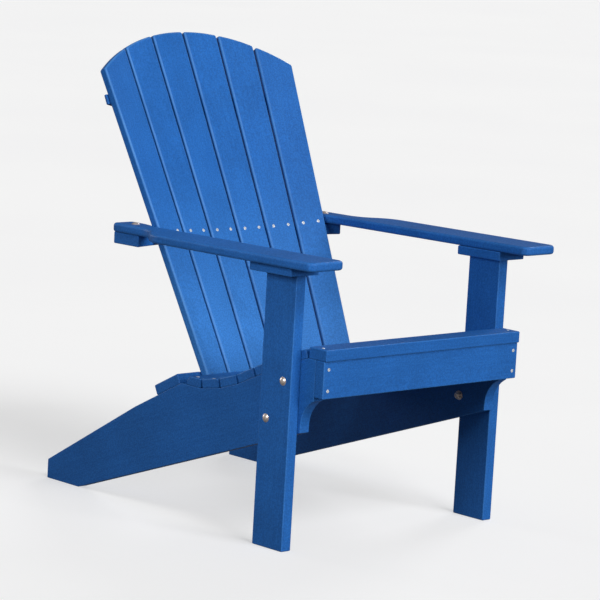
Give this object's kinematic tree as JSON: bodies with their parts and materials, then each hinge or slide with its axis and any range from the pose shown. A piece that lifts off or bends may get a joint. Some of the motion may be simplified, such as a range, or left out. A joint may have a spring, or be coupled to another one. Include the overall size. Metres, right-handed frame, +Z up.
{
  "type": "adirondack chair",
  "caption": "Low slatted garden armchair with a tall fanned, round-topped reclining back, flat wide arms and long sloping rear legs.",
  "frame": {"origin": "on the floor under the middle of the whole chair's outline", "axes": "+Z up, -Y the way the sitter faces, +X the sitter's left"},
  "size_m": [0.709, 0.8765, 0.979],
  "materials": {
    "lumber": "satin, finely mottled solid-colour plastic lumber",
    "bolt_steel": "stainless steel, slightly warm",
    "screw_steel": "bright stainless steel"
  },
  "bodies": {
    "root": {"side_rail_left": "lumber", "side_rail_right": "lumber", "front_leg_left": "lumber", "front_leg_right": "lumber", "arm_block_left": "lumber", "arm_block_right": "lumber", "arm_left": "lumber", "arm_right": "lumber", "arm_rail": "lumber", "lower_back_rail": "lumber", "upper_back_rail": "lumber", "front_apron": "lumber", "front_seat_slat": "lumber", "seat_slat_1": "lumber", "seat_slat_2": "lumber", "seat_slat_3": "lumber", "seat_slat_4": "lumber", "seat_slat_5": "lumber", "seat_slat_6": "lumber", "seat_slat_7": "lumber", "back_slat_1": "lumber", "back_slat_2": "lumber", "back_slat_3": "lumber", "back_slat_4": "lumber", "back_slat_5": "lumber", "back_slat_6": "lumber", "leg_bolts": "bolt_steel", "leg_washers": "bolt_steel", "leg_nuts": "bolt_steel", "arm_bolts": "bolt_steel", "arm_block_screws": "screw_steel", "arm_screws": "screw_steel", "apron_screws": "screw_steel", "seat_screws": "screw_steel", "lower_rail_screws": "screw_steel", "slat_foot_screws": "screw_steel", "back_slat_screws": "screw_steel", "upper_rail_screws": "screw_steel"}
  },
  "joints": []
}
